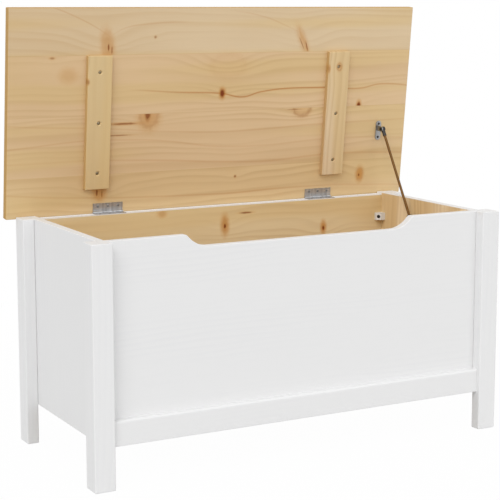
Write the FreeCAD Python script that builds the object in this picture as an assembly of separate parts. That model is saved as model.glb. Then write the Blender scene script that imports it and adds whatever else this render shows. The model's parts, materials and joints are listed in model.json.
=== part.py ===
import FreeCAD, Part
import math
import os

from FreeCAD import Vector

# Storage box with a hinged lid: a painted carcass on four legs, a natural pine lid with two battens,
# two butt hinges and a rod stay that slides through a swivelling guide.
# Millimetres, +Z up, +X to the right seen from the front, +Y to the rear.
# The origin is on the floor, in the middle of the space that the box takes up with its lid open.

# Carcass
body_width = 958.0  # across the legs
body_depth = 415.5  # front legs' faces to rear legs' backs
leg_height = 485.0
leg_face = 44.0  # width of a front leg, and depth of every leg
leg_arm = 26.0  # thickness of a leg's arms, which the panels sit behind
leg_round = 2.5  # upright edges
leg_chamfer = 1.2  # top and foot
panel_thickness = 18.0
panel_bottom = 84.0  # panels' lower edge above the floor
panel_round = 1.5
back_inset = 3.0  # rear legs' backs to the back panel's outer face

# Hand cut-out in the front panel
cutout_width = 535.0  # at the panel's top edge
cutout_depth = 25.0
cutout_slope = 45.0  # degrees, of its ends
cutout_fillet = 60.0  # between an end and the lower edge
cutout_lip = 4.0  # rounding where an end meets the top edge

# Rail along the foot of the front panel
rail_height = 51.0
rail_setback = 10.0  # legs' faces to the rail's face
rail_round = 5.0

# Floor
floor_thickness = 10.0
floor_play = 1.0  # round the floor panel
cleat_width = 20.0
cleat_height = 20.0
cleat_end_gap = 30.0

# Corner blocks
block_back = 20.0  # along the front or back panel
block_side = 15.0  # along the side panel
block_height = 17.0
block_chamfer = 8.5
block_top_drop = 56.0  # leg tops to the middle of the upper blocks
block_floor_rise = 40.0  # floor panel to the middle of the lower blocks

# Lid
lid_thickness = 17.0
lid_side_overhang = 21.0
lid_front_overhang = 28.0
lid_back_reach = 3.0  # behind the hinge axis when closed
lid_gap = 0.4  # between the closed lid and the leg tops
lid_chamfer = 1.2
open_angle = 83.8  # degrees between closed and held open
batten_width = 56.0
batten_thickness = 11.0
batten_end_margin = 174.0  # lid's end to the batten's outer edge
batten_back_margin = 56.5
batten_front_margin = 100.5
batten_round = 1.2
batten_hole_count = 3
batten_hole_margin = 35.0  # batten's end to its outer screw holes
batten_hole_radius = 5.5
batten_hole_floor_radius = 3.5
batten_hole_depth = 2.5

# Butt hinges
hinge_length = 70.0
hinge_from_side = 211.5  # legs' outer faces to the middle of a hinge
hinge_leaf_width = 20.0
hinge_leaf_thickness = 1.2
knuckle_radius = 2.2
knuckle_count = 3
knuckle_gap = 0.3
hinge_pin_radius = 1.0
hinge_pin_head_radius = 1.8
hinge_pin_head_thickness = 0.8
hinge_clearance = 0.3  # knuckles to the lid and to the back panel
axis_inset = 0.5  # hinge axis in front of the rear legs' backs

# Rod stay
stay_inset = 8.0  # rod's axis to the right side panel
stay_along = 158.0  # hinge axis to the pivot, along the lid
stay_standoff = 18.5  # lid's face to the pivot
stay_guide_room = 30.0  # pivot to guide with the lid closed
stay_rod_radius = 3.0
stay_rod_tail = 24.0  # past the guide with the lid open
stay_play = 0.4  # rod in its guide, all round
rod_end_radius = 6.0
rod_end_width = 6.0
rod_end_neck_radius = 4.2
rod_end_length = 18.0  # pivot to the neck's end
rod_seat_depth = 9.0
collar_radius = 4.5
collar_length = 7.0
collar_gap = 0.5
pivot_pin_radius = 2.5
pivot_pin_head_radius = 4.0
pivot_pin_head_thickness = 1.4
bracket_length = 46.0
bracket_width = 14.0
bracket_thickness = 2.0
bracket_setback = 6.0  # pivot to the bracket's middle, towards the hinge
bracket_side = 1.5  # rod's axis to the bracket's middle, away from the side panel
ear_thickness = 2.4
ear_radius = 6.0
guide_radius = 7.0
guide_plate_length = 46.0
guide_plate_width = 16.0
guide_plate_thickness = 3.0
shank_radius = 3.0
rivet_radius = 4.2
rivet_thickness = 1.0

# Clearances
fit_gap = 0.05  # round pins and the rod's seat
side_gap = 0.4  # beside pieces that turn against each other

# Places worked out from the sizes above
hinge_stand = knuckle_radius + hinge_clearance
rear_reach = (lid_back_reach - lid_chamfer) * math.cos(math.radians(open_angle)) + (
    hinge_stand + lid_thickness
) * math.sin(math.radians(open_angle))  # hinge axis to the open lid's rearmost edge
front_y = -(body_depth - axis_inset + rear_reach) / 2
rear_y = front_y + body_depth
axis_y = rear_y - axis_inset
lid_z = leg_height + lid_gap
axis_z = lid_z - hinge_stand
half_width = body_width / 2
side_outer_x = half_width - leg_arm
side_inner_x = side_outer_x - panel_thickness
front_outer_y = front_y + leg_arm
front_inner_y = front_outer_y + panel_thickness
back_outer_y = rear_y - back_inset
back_inner_y = back_outer_y - panel_thickness
back_top_z = axis_z - hinge_stand
floor_z = panel_bottom + cleat_height
floor_top_z = floor_z + floor_thickness
lid_half = half_width + lid_side_overhang
lid_front_y = front_y - lid_front_overhang
lid_rear_y = axis_y + lid_back_reach
hinge_x = half_width - hinge_from_side
stay_x = side_inner_x - stay_inset


def block(x0, x1, y0, y1, z0, z1):
    """Box between two corners."""
    return Part.makeBox(x1 - x0, y1 - y0, z1 - z0, Vector(x0, y0, z0))


def rod_x(radius, x0, x1, y, z):
    """Cylinder along X."""
    return Part.makeCylinder(radius, x1 - x0, Vector(x0, y, z), Vector(1, 0, 0))


def mirrored(shape):
    """Copy on the other side of the middle plane."""
    return shape.mirror(Vector(0, 0, 0), Vector(1, 0, 0))


def opened(shape):
    """Turns a piece of the closed lid up about the hinge axis."""
    shape.rotate(Vector(0, axis_y, axis_z), Vector(1, 0, 0), -open_angle)
    return shape


def is_along(edge, axis):
    """True for a straight edge that runs along a unit axis."""
    if edge.Curve.TypeId != "Part::GeomLine":
        return False
    first, last = edge.Vertexes[0].Point, edge.Vertexes[-1].Point
    return (last - first).normalize().cross(axis).Length < 1e-6


def rounded(shape, radius, chosen):
    """Rounds the edges that the chosen test picks."""
    return shape.makeFillet(radius, [edge for edge in shape.Edges if chosen(edge)])


def chamfered(shape, width, chosen):
    """Takes a narrow chamfer off the edges that the chosen test picks."""
    return shape.makeChamfer(width, [edge for edge in shape.Edges if chosen(edge)])


def is_end_edge(edge):
    """True for an edge that lies in a level plane."""
    return edge.BoundBox.ZLength < 1e-6


def spaced(first, last, count):
    """Evenly spaced values from first to last."""
    return [first + (last - first) * i / (count - 1) for i in range(count)]


def softened_leg(leg):
    """Rounds a leg's upright edges, apart from the hidden inner corner of an L, and chamfers its ends."""

    def is_outer_upright(edge):
        middle = edge.BoundBox.Center
        inner_corner = Vector(-side_outer_x, front_outer_y, middle.z)
        return is_along(edge, Vector(0, 0, 1)) and (middle - inner_corner).Length > leg_round

    return chamfered(rounded(leg, leg_round, is_outer_upright), leg_chamfer, is_end_edge)


def front_leg():
    """Left front leg: two arms in an L, open towards the inside of the box."""
    front_arm = block(-half_width, -half_width + leg_face, front_y, front_outer_y, 0, leg_height)
    side_arm = block(-half_width, -side_outer_x, front_y, front_y + leg_face, 0, leg_height)
    return softened_leg(front_arm.fuse(side_arm).removeSplitter())


def rear_leg():
    """Left rear leg: a plain board on the outside of the side panel."""
    return softened_leg(block(-half_width, -side_outer_x, rear_y - leg_face, rear_y, 0, leg_height))


def front_panel():
    """Front panel with the sloped and rounded hand cut-out in its top edge."""
    slope = math.radians(cutout_slope)
    run = cutout_depth / math.tan(slope)
    top, low = leg_height, leg_height - cutout_depth
    end = Vector(math.cos(slope), 0, -math.sin(slope))
    lip = Vector(-cutout_width / 2, front_outer_y, top)
    toe = Vector(-cutout_width / 2 + run, front_outer_y, low)
    lip_reach = cutout_lip * math.tan(slope / 2)
    toe_reach = cutout_fillet * math.tan(slope / 2)
    lip_start = lip - Vector(lip_reach, 0, 0)
    lip_end = lip + end * lip_reach
    toe_start = toe - end * toe_reach
    toe_end = toe + Vector(toe_reach, 0, 0)
    lip_middle = lip_start + Vector(
        cutout_lip * math.sin(slope / 2), 0, cutout_lip * (math.cos(slope / 2) - 1)
    )
    toe_middle = toe_end + Vector(
        -cutout_fillet * math.sin(slope / 2), 0, cutout_fillet * (1 - math.cos(slope / 2))
    )

    def across(point):
        return Vector(-point.x, point.y, point.z)

    corner = Vector(-side_outer_x, front_outer_y, top)
    foot = Vector(-side_outer_x, front_outer_y, panel_bottom)
    edges = [
        Part.makeLine(foot, corner),
        Part.makeLine(corner, lip_start),
        Part.Arc(lip_start, lip_middle, lip_end).toShape(),
        Part.makeLine(lip_end, toe_start),
        Part.Arc(toe_start, toe_middle, toe_end).toShape(),
        Part.makeLine(toe_end, across(toe_end)),
        Part.Arc(across(toe_end), across(toe_middle), across(toe_start)).toShape(),
        Part.makeLine(across(toe_start), across(lip_end)),
        Part.Arc(across(lip_end), across(lip_middle), across(lip_start)).toShape(),
        Part.makeLine(across(lip_start), across(corner)),
        Part.makeLine(across(corner), across(foot)),
        Part.makeLine(across(foot), foot),
    ]
    panel = Part.Face(Part.Wire(edges)).extrude(Vector(0, panel_thickness, 0))

    def is_top_edge(edge):
        box = edge.BoundBox
        across_board = is_along(edge, Vector(0, 1, 0))
        return box.ZMin > low - 1 and box.YLength < 1e-6 and not across_board

    return rounded(panel, panel_round, is_top_edge)


def front_rail():
    """Rail between the front legs, on the face of the front panel."""
    end_x = half_width - leg_face
    rail = block(
        -end_x, end_x, front_y + rail_setback, front_outer_y, panel_bottom, panel_bottom + rail_height
    )

    def is_front_top(edge):
        middle = edge.BoundBox.Center
        return is_along(edge, Vector(1, 0, 0)) and middle.y < front_outer_y - 1 and middle.z > panel_bottom + 1

    def is_front_foot(edge):
        middle = edge.BoundBox.Center
        return is_along(edge, Vector(1, 0, 0)) and middle.y < front_outer_y - 1 and middle.z < panel_bottom + 1

    return rounded(rounded(rail, rail_round, is_front_top), panel_round, is_front_foot)


def side_panel():
    """Left side panel, from the front panel to the rear legs' backs."""
    board = block(-side_outer_x, -side_inner_x, front_inner_y, rear_y, panel_bottom, leg_height)

    def is_top_or_foot(edge):
        return is_along(edge, Vector(0, 1, 0))

    return rounded(board, panel_round, is_top_or_foot)


def back_panel():
    """Back panel between the side panels, lowered by the folded hinges."""
    board = block(-side_inner_x, side_inner_x, back_inner_y, back_outer_y, panel_bottom, back_top_z)

    def is_foot(edge):
        return is_along(edge, Vector(1, 0, 0)) and edge.BoundBox.ZMax < panel_bottom + 1

    return rounded(board, panel_round, is_foot)


def floor_cleat(y0):
    """Cleat along the foot of the front or back panel, which carries the floor."""
    end_x = side_inner_x - cleat_end_gap
    return block(-end_x, end_x, y0, y0 + cleat_width, panel_bottom, floor_z)


def floor_panel():
    """Floor board, loose on its cleats."""
    end_x = side_inner_x - floor_play
    return block(
        -end_x, end_x, front_inner_y + floor_play, back_inner_y - floor_play, floor_z, floor_top_z
    )


def corner_block(end_y, inward, middle_z):
    """Corner block on the right, against the side panel and the panel whose inner face is at end_y."""
    free_x = side_inner_x - block_back
    free_y = end_y + inward * block_side
    outline = [
        Vector(side_inner_x, end_y, 0),
        Vector(side_inner_x, free_y, 0),
        Vector(free_x + block_chamfer, free_y, 0),
        Vector(free_x, free_y - inward * block_chamfer, 0),
        Vector(free_x, end_y, 0),
    ]
    outline.append(outline[0])
    solid = Part.Face(Part.makePolygon(outline)).extrude(Vector(0, 0, block_height))
    solid.translate(Vector(0, 0, middle_z - block_height / 2))
    return solid


def lid_panel():
    """Closed lid: one glued-up board with its sharp edges taken off."""
    board = block(-lid_half, lid_half, lid_front_y, lid_rear_y, lid_z, lid_z + lid_thickness)
    return board.makeChamfer(lid_chamfer, board.Edges)


def lid_batten():
    """Left batten under the closed lid."""
    outer_x = -lid_half + batten_end_margin
    board = block(
        outer_x,
        outer_x + batten_width,
        lid_front_y + batten_front_margin,
        lid_rear_y - batten_back_margin,
        lid_z - batten_thickness,
        lid_z,
    )
    return rounded(board, batten_round, lambda edge: edge.BoundBox.ZMax < lid_z - 1)


def batten_holes():
    """Cutters for the left batten's screw holes, each sunk and coned."""
    x = -lid_half + batten_end_margin + batten_width / 2
    first = lid_front_y + batten_front_margin + batten_hole_margin
    last = lid_rear_y - batten_back_margin - batten_hole_margin
    face_z = lid_z - batten_thickness
    return [
        Part.makeCone(batten_hole_radius, batten_hole_floor_radius, batten_hole_depth, Vector(x, y, face_z))
        for y in spaced(first, last, batten_hole_count)
    ]


def hinge_leaf(on_lid):
    """Leaf of the right hinge with its share of the knuckles, in the closed position."""
    left, right = hinge_x - hinge_length / 2, hinge_x + hinge_length / 2
    edge_y = axis_y - hinge_leaf_width
    if on_lid:
        plate = block(left, right, edge_y, axis_y, lid_z - hinge_leaf_thickness, lid_z)
    else:
        plate = block(left, right, edge_y, axis_y, back_top_z, back_top_z + hinge_leaf_thickness)
    pitch = hinge_length / knuckle_count
    reach = knuckle_radius + side_gap
    knuckles = []
    for i in range(knuckle_count):
        start = left + i * pitch
        if (i % 2 == 1) == on_lid:
            start_gap = knuckle_gap / 2 if i > 0 else 0.0
            end_gap = knuckle_gap / 2 if i < knuckle_count - 1 else 0.0
            knuckles.append(rod_x(knuckle_radius, start + start_gap, start + pitch - end_gap, axis_y, axis_z))
        else:
            slot = block(
                start - knuckle_gap / 2,
                start + pitch + knuckle_gap / 2,
                axis_y - reach,
                axis_y + reach,
                axis_z - 2 * reach,
                axis_z + 2 * reach,
            )
            plate = plate.cut(slot)
    bore = rod_x(hinge_pin_radius + fit_gap, left - 1, right + 1, axis_y, axis_z)
    return plate.fuse(knuckles).removeSplitter().cut(bore)


def hinge_pin():
    """Pin of the right hinge, headed at both ends."""
    left, right = hinge_x - hinge_length / 2, hinge_x + hinge_length / 2
    pin = rod_x(hinge_pin_radius, left, right, axis_y, axis_z)
    heads = [
        rod_x(hinge_pin_head_radius, left - hinge_pin_head_thickness, left, axis_y, axis_z),
        rod_x(hinge_pin_head_radius, right, right + hinge_pin_head_thickness, axis_y, axis_z),
    ]
    return pin.fuse(heads).removeSplitter()


# The stay's pivot travels on a circle about the hinge axis. Its guide lies on the same circle, so the rod
# always turns through half the lid's angle and slides straight through the guide.
pivot_radius = math.hypot(stay_along, stay_standoff - hinge_stand)
pivot_closed = -math.atan2(stay_standoff - hinge_stand, stay_along)
pivot_open = pivot_closed + math.radians(open_angle)
guide_angle = pivot_closed - 2 * math.asin(stay_guide_room / (2 * pivot_radius))
closed_pivot_y = axis_y - stay_along
closed_pivot_z = lid_z - stay_standoff


def on_pivot_circle(angle):
    """Point of the stay's plane on the pivot's circle; angle 0 is straight ahead of the hinge axis."""
    return Vector(
        stay_x, axis_y - pivot_radius * math.cos(angle), axis_z + pivot_radius * math.sin(angle)
    )


pivot_point = on_pivot_circle(pivot_open)
guide_point = on_pivot_circle(guide_angle)
rod_span = (guide_point - pivot_point).Length
rod_direction = (guide_point - pivot_point).normalize()
rod_turn = FreeCAD.Rotation(Vector(0, 0, -1), rod_direction)


def on_rod(shape):
    """Carries a piece from the upright rod, with its pivot at the origin, to the stay."""
    shape.Placement = FreeCAD.Placement(pivot_point, rod_turn)
    return shape


def down_rod(radius, start, end):
    """Cylinder along the upright rod, between two distances below its pivot."""
    return Part.makeCylinder(radius, end - start, Vector(0, 0, -end), Vector(0, 0, 1))


def stay_rod():
    """Round rod with a chamfered tip."""
    length = rod_span + stay_rod_tail
    rod = down_rod(stay_rod_radius, rod_seat_depth, length)
    return on_rod(chamfered(rod, stay_rod_radius / 2, lambda edge: edge.BoundBox.ZMax < -length + 1))


def stay_rod_end():
    """Moulded eye at the rod's upper end, with a neck that holds the rod."""
    eye = rod_x(rod_end_radius, -rod_end_width / 2, rod_end_width / 2, 0, 0)
    neck = down_rod(rod_end_neck_radius, 0, rod_end_length)
    cheeks = block(
        -rod_end_width / 2,
        rod_end_width / 2,
        -rod_end_radius,
        rod_end_radius,
        -rod_end_radius,
        rod_end_radius,
    )
    shoulder = down_rod(rod_end_neck_radius, rod_end_radius, rod_end_length)
    body = eye.fuse([neck.common(cheeks), shoulder]).removeSplitter()
    pin_bore = rod_x(pivot_pin_radius + fit_gap, -rod_end_width, rod_end_width, 0, 0)
    rod_bore = down_rod(stay_rod_radius + fit_gap, rod_seat_depth, rod_end_length + 1)
    return on_rod(body.cut([pin_bore, rod_bore]))


def stay_stop_collar():
    """Collar below the guide, which stops the lid when it is open."""
    start = rod_span + guide_radius + collar_gap
    ring = down_rod(collar_radius, start, start + collar_length)
    return on_rod(ring.cut(down_rod(stay_rod_radius + fit_gap, start - 1, start + collar_length + 1)))


def stay_pivot_pin():
    """Pin through the closed lid's bracket and the rod's eye, headed at both ends."""
    ear_x = stay_x - rod_end_width / 2 - side_gap - ear_thickness
    eye_x = stay_x + rod_end_width / 2 + side_gap
    y, z = closed_pivot_y, closed_pivot_z
    pin = rod_x(pivot_pin_radius, ear_x, eye_x, y, z)
    heads = [
        rod_x(pivot_pin_head_radius, ear_x - pivot_pin_head_thickness, ear_x, y, z),
        rod_x(pivot_pin_head_radius, eye_x, eye_x + pivot_pin_head_thickness, y, z),
    ]
    return pin.fuse(heads).removeSplitter()


def oblong(length, width, thickness):
    """Flat bar with round ends, along Y on the XY plane, centred on the origin."""
    half = (length - width) / 2
    plate = block(-width / 2, width / 2, -half, half, 0, thickness)
    ends = [Part.makeCylinder(width / 2, thickness, Vector(0, y, 0)) for y in (-half, half)]
    return plate.fuse(ends).removeSplitter()


def stay_lid_bracket():
    """Oblong plate on the closed lid with an ear that carries the pivot."""
    plate = oblong(bracket_length, bracket_width, bracket_thickness)
    plate.translate(
        Vector(stay_x - bracket_side, closed_pivot_y + bracket_setback, lid_z - bracket_thickness)
    )
    right = stay_x - rod_end_width / 2 - side_gap
    left = right - ear_thickness
    web = block(
        left,
        right,
        closed_pivot_y - ear_radius,
        closed_pivot_y + ear_radius,
        closed_pivot_z,
        lid_z - bracket_thickness / 2,
    )
    nose = rod_x(ear_radius, left, right, closed_pivot_y, closed_pivot_z)
    bore = rod_x(pivot_pin_radius + fit_gap, left - 1, right + 1, closed_pivot_y, closed_pivot_z)
    return plate.fuse([web, nose]).removeSplitter().cut(bore)


def stay_guide_plate():
    """Oblong plate on the right side panel, which the guide's riveted shank turns in."""
    plate = oblong(guide_plate_length, guide_plate_width, guide_plate_thickness)
    plate.rotate(Vector(0, 0, 0), Vector(0, 1, 0), -90)
    plate.translate(Vector(side_inner_x, guide_point.y, guide_point.z))
    face_x = side_inner_x - guide_plate_thickness
    recess_x = side_inner_x - rivet_thickness - side_gap
    bore = rod_x(shank_radius + fit_gap, face_x - 1, side_inner_x, guide_point.y, guide_point.z)
    recess = rod_x(rivet_radius + side_gap, recess_x, side_inner_x, guide_point.y, guide_point.z)
    return plate.cut([bore, recess])


def stay_guide():
    """Swivelling guide: a short drum, cross-bored for the rod, on a riveted shank."""
    half = stay_inset - guide_plate_thickness - side_gap
    y, z = guide_point.y, guide_point.z
    drum = rod_x(guide_radius, stay_x - half, stay_x + half, y, z)
    rivet_end = side_inner_x - side_gap / 2
    shank = rod_x(shank_radius, stay_x + half - 1, rivet_end, y, z)
    rivet = rod_x(rivet_radius, rivet_end - rivet_thickness, rivet_end, y, z)
    bore = on_rod(
        down_rod(stay_rod_radius + stay_play, rod_span - 2 * guide_radius, rod_span + 2 * guide_radius)
    )
    return drum.fuse([shank, rivet]).removeSplitter().cut(bore)


def carcass():
    """Legs, panels, rail, floor, corner blocks, and what the hinges and the stay fix to them."""
    leg_front, leg_rear, side = front_leg(), rear_leg(), side_panel()
    blocks = [
        corner_block(end_y, inward, z)
        for end_y, inward in ((front_inner_y, 1), (back_inner_y, -1))
        for z in (floor_top_z + block_floor_rise, leg_height - block_top_drop)
    ]
    return {
        "leg_front_left": leg_front,
        "leg_front_right": mirrored(leg_front),
        "leg_rear_left": leg_rear,
        "leg_rear_right": mirrored(leg_rear),
        "front_panel": front_panel(),
        "front_rail": front_rail(),
        "side_panel_left": side,
        "side_panel_right": mirrored(side),
        "back_panel": back_panel(),
        "floor_cleat_front": floor_cleat(front_inner_y),
        "floor_cleat_back": floor_cleat(back_inner_y - cleat_width),
        "floor_panel": floor_panel(),
        "corner_blocks": Part.makeCompound(blocks + [mirrored(solid) for solid in blocks]),
        "hinge_right_body_leaf": hinge_leaf(False),
        "hinge_left_body_leaf": mirrored(hinge_leaf(False)),
        "hinge_right_pin": hinge_pin(),
        "hinge_left_pin": mirrored(hinge_pin()),
        "stay_guide_plate": stay_guide_plate(),
    }


def lid():
    """Lid board, battens, hinge leaves and the stay's bracket, turned up to the open position."""
    batten = lid_batten().cut(batten_holes())
    pieces = {
        "lid_panel": lid_panel(),
        "lid_batten_left": batten,
        "lid_batten_right": mirrored(batten),
        "hinge_right_lid_leaf": hinge_leaf(True),
        "hinge_left_lid_leaf": mirrored(hinge_leaf(True)),
        "stay_lid_bracket": stay_lid_bracket(),
        "stay_pivot_pin": stay_pivot_pin(),
    }
    return {name: opened(solid) for name, solid in pieces.items()}


def stay():
    """The stay's sliding rod and its swivelling guide, with the lid open."""
    return {
        "stay_rod": stay_rod(),
        "stay_rod_end": stay_rod_end(),
        "stay_stop_collar": stay_stop_collar(),
        "stay_guide": stay_guide(),
    }


def write(pieces):
    """Writes each node to its own file."""
    os.makedirs("parts", exist_ok=True)
    for name, shape in pieces.items():
        whole = shape if len(shape.Solids) > 1 else shape.Solids[0]
        whole.exportStep("parts/" + name + ".step")


write(carcass())
write(lid())
write(stay())
print("hinge axis y, z:", round(axis_y, 4), round(axis_z, 4))
print("stay pivot:", [round(v, 4) for v in pivot_point], "guide:", [round(v, 4) for v in guide_point])
print("rod span:", round(rod_span, 3), "front y:", round(front_y, 4), "rear y:", round(rear_y, 4))
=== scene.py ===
"""Finishes, small fasteners and stage for a white-painted pine storage box with an open lid."""

import json
import math
from collections import namedtuple

import bmesh
import bpy
from bpy.props import FloatProperty, FloatVectorProperty, IntProperty, PointerProperty
from mathutils import Matrix, Vector


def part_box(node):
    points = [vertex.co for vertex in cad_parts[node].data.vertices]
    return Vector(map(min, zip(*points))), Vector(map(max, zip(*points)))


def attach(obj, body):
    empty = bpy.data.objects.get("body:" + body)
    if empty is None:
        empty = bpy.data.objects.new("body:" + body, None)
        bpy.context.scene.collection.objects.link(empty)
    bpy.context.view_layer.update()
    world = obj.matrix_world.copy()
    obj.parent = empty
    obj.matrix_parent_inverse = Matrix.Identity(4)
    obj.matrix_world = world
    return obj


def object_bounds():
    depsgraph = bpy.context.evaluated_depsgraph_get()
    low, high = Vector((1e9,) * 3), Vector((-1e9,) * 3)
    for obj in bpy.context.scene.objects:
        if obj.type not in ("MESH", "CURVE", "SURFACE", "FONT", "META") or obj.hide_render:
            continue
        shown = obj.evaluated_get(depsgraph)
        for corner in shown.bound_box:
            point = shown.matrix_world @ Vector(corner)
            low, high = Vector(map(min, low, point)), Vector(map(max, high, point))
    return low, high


bl_info = {
    "name": "Pine Storage Box",
    "version": (1, 0, 0),
    "blender": (4, 5, 0),
    "location": "View3D > Sidebar > Storage Box",
    "description": "Finishes a pine storage box and sets it on a pale studio floor",
    "category": "Object",
}

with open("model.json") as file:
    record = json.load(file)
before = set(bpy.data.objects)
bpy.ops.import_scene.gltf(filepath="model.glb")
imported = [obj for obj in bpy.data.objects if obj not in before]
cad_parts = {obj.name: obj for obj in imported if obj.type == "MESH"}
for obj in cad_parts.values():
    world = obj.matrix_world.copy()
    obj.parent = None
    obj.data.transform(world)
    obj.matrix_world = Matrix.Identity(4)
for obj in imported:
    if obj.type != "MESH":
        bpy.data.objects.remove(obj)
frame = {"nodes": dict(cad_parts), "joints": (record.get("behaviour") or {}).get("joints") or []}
CAD_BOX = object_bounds()

MM = 0.001
RIGHT = Vector((1, 0, 0))
BACK = Vector((0, 1, 0))
UP = Vector((0, 0, 1))

# The lid stands open by the angle that its hinge still turns through to close.
LID_HINGE = next(joint for joint in frame["joints"] if joint["name"] == "lid_hinge")
OPEN_ANGLE = math.radians(LID_HINGE["range_deg"][1])
HINGE_AXIS = Vector(LID_HINGE["pos_m"])
LID_UP = Vector((0, -math.cos(OPEN_ANGLE), math.sin(OPEN_ANGLE)))
LID_FRONT = Vector((0, -math.sin(OPEN_ANGLE), -math.cos(OPEN_ANGLE)))

SIDES = ("left", "right")

# Distances over a board, in metres: along the grain, across it and through the board.
Board = namedtuple("Board", "along across depth")
# A knot: its place on a board, its half length and half height, how strongly its resinous halo, its
# heart and its outline show, how far and how widely it bends the rings, how far it leans, and the seams
# that cut it off.
Knot = namedtuple(
    "Knot",
    "along across length height halo heart outline bend spread lean low high",
    defaults=(0.0, 0.0, 30 * MM, 0.0, None, None),
)
# A strong late ring: the points that it passes through, its half width, how dark it is, and where it
# starts and ends.
Ring = namedtuple("Ring", "points width dark start end", defaults=(None, None))

# Growth rings: how far they sway over a board and wave along it, how uneven they are and how often that
# changes in a metre, and how steeply they run through the board.
RING_SWAY = 60 * MM
RING_WAVE = 14 * MM
RING_UNEVENNESS = 30 * MM
RING_CHANGES = 28
RING_SLOPE = 0.5
# Where in a ring its late wood begins and where it is darkest: bare, under paint and on peeled plywood.
LATE_WOOD = (0.25, 0.82)
PAINTED_LATE_WOOD = (0.3, 0.9)
PEELED_LATE_WOOD = (0.1, 0.8)
# Where a figure's noise begins to show it and where it shows in full: bare rings, yellow bands, rings
# under paint and pores under paint.
SHOWN_RINGS = (0.3, 0.7)
SHOWN_BANDS = (0.4, 0.62)
SHOWN_PAINTED_RINGS = (0.4, 0.7)
SHOWN_PORES = (0.45, 0.8)
# What still shows of a growth ring, and of a strong one, where the figure is faint.
FAINT_RING = 0.2
FAINT_STRONG_RING = 0.45
# How far a strong ring waves, and how far it takes to fade in or out.
STRONG_RING_WAVE = 5 * MM
RING_FADE = 40 * MM
# Shares of late wood in the fibres, in the clouds and all over, and of yellow wood in its bands.
FIBRE_SHARE = 0.15
CLOUD_SHARE = 0.4
EVEN_SHARE = 0.08
BAND_SHARE = 0.7
# How much rougher lacquer is over the rings, and paint over the grain.
LACQUER_ROUGHENING = 0.1
PAINT_ROUGHENING = 0.15
# Share of the painted grain that comes from the rings; the rest comes from the pores.
RING_GRAIN = 0.6

# A knot's parts, in shares of its half size: where its halo and its heart fade, where its outline runs
# and how wide it is, and how ragged they are.
HALO_FADE = (0.4, 1.9)
HEART_FADE = (0.4, 1.1)
OUTLINE_PLACE = 0.95
OUTLINE_WIDTH = 0.2
RAGGEDNESS = 0.4

# A panel's bare inner face: the depth over which it ends, the painted rim that frames it, how far it
# runs on behind the back panel's face, and how much of its rings stands out.
INNER_FACE = (0.2 * MM, 0.5 * MM)
PAINTED_RIM = (0.8 * MM, 1.6 * MM)
BEHIND_BACK = 2 * MM
INNER_RELIEF = 0.5

# The lid's boards: how far apart they are cut from the log, how strong the rings are at the hinges, and
# how much weaker they get from board to board.
BOARD_STEP = 0.3
HINGE_BOARD_RINGS = 1.25
RING_STEP = 0.2
# How deep the knots' outlines reach, how wide a glue line and a sawn edge are, how dark they are, and how
# much painted shade darkens the lid's left end.
OUTLINE_DEPTH = (4 * MM, 8 * MM)
GLUE_LINE = (0.2 * MM, 1.0 * MM)
GLUE_SHARE = 0.25
SAWN_EDGE = (0.3 * MM, 1.2 * MM)
SAWN_SHARE = 0.9
LEFT_END_PAINTED_SHADE = 0.2
# A batten's long sides get painted shade: how far from its edge it begins and is full, and how dark it is.
BATTEN_SHADE_INSETS = (0.5 * MM, 0.1 * MM)
PAINTED_SIDE_SHADE = 0.55

# Plywood: how far its peeled figure sways, how broad that is in growth rings, the thickness of a pair of
# its layers, and its roughness.
PEELED_SWAY = 160 * MM
PEELED_BREADTH = 3
PLY_LAYERS = 2 * MM
PLY_ROUGHNESS = 0.6
# Shares of late wood in its figure, in its fibres and in every other layer.
PEELED_SHARE = 0.3
PEELED_FIBRE_SHARE = 0.2
LAYER_SHARE = 0.1

# Drawn metal: how dark its lines are, what they take of its face, how deep they are, where its bands begin
# and are full, and how far the roughness varies over the lines and over the bands.
LINE_TONE = 0.6
LINE_SHARE = 0.3
LINE_DEPTH = 0.02 * MM
SHOWN_METAL_BANDS = (0.3, 0.7)
LINE_ROUGHENING = 0.15
BAND_ROUGHENING = 0.1
# Moulded plastic: the bumps of its clouds and of its fine texture in a metre, how dark they are, what each
# takes of its face, how deep the texture is, and how far the roughness varies over it.
CLOUD_BUMPS = 70
TEXTURE_BUMPS = 2500
PLASTIC_TONE = 0.9
PLASTIC_CLOUD_SHARE = 0.5
TEXTURE_SHARE = 0.3
TEXTURE_DEPTH = 0.03 * MM
TEXTURE_ROUGHENING = 0.1

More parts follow.
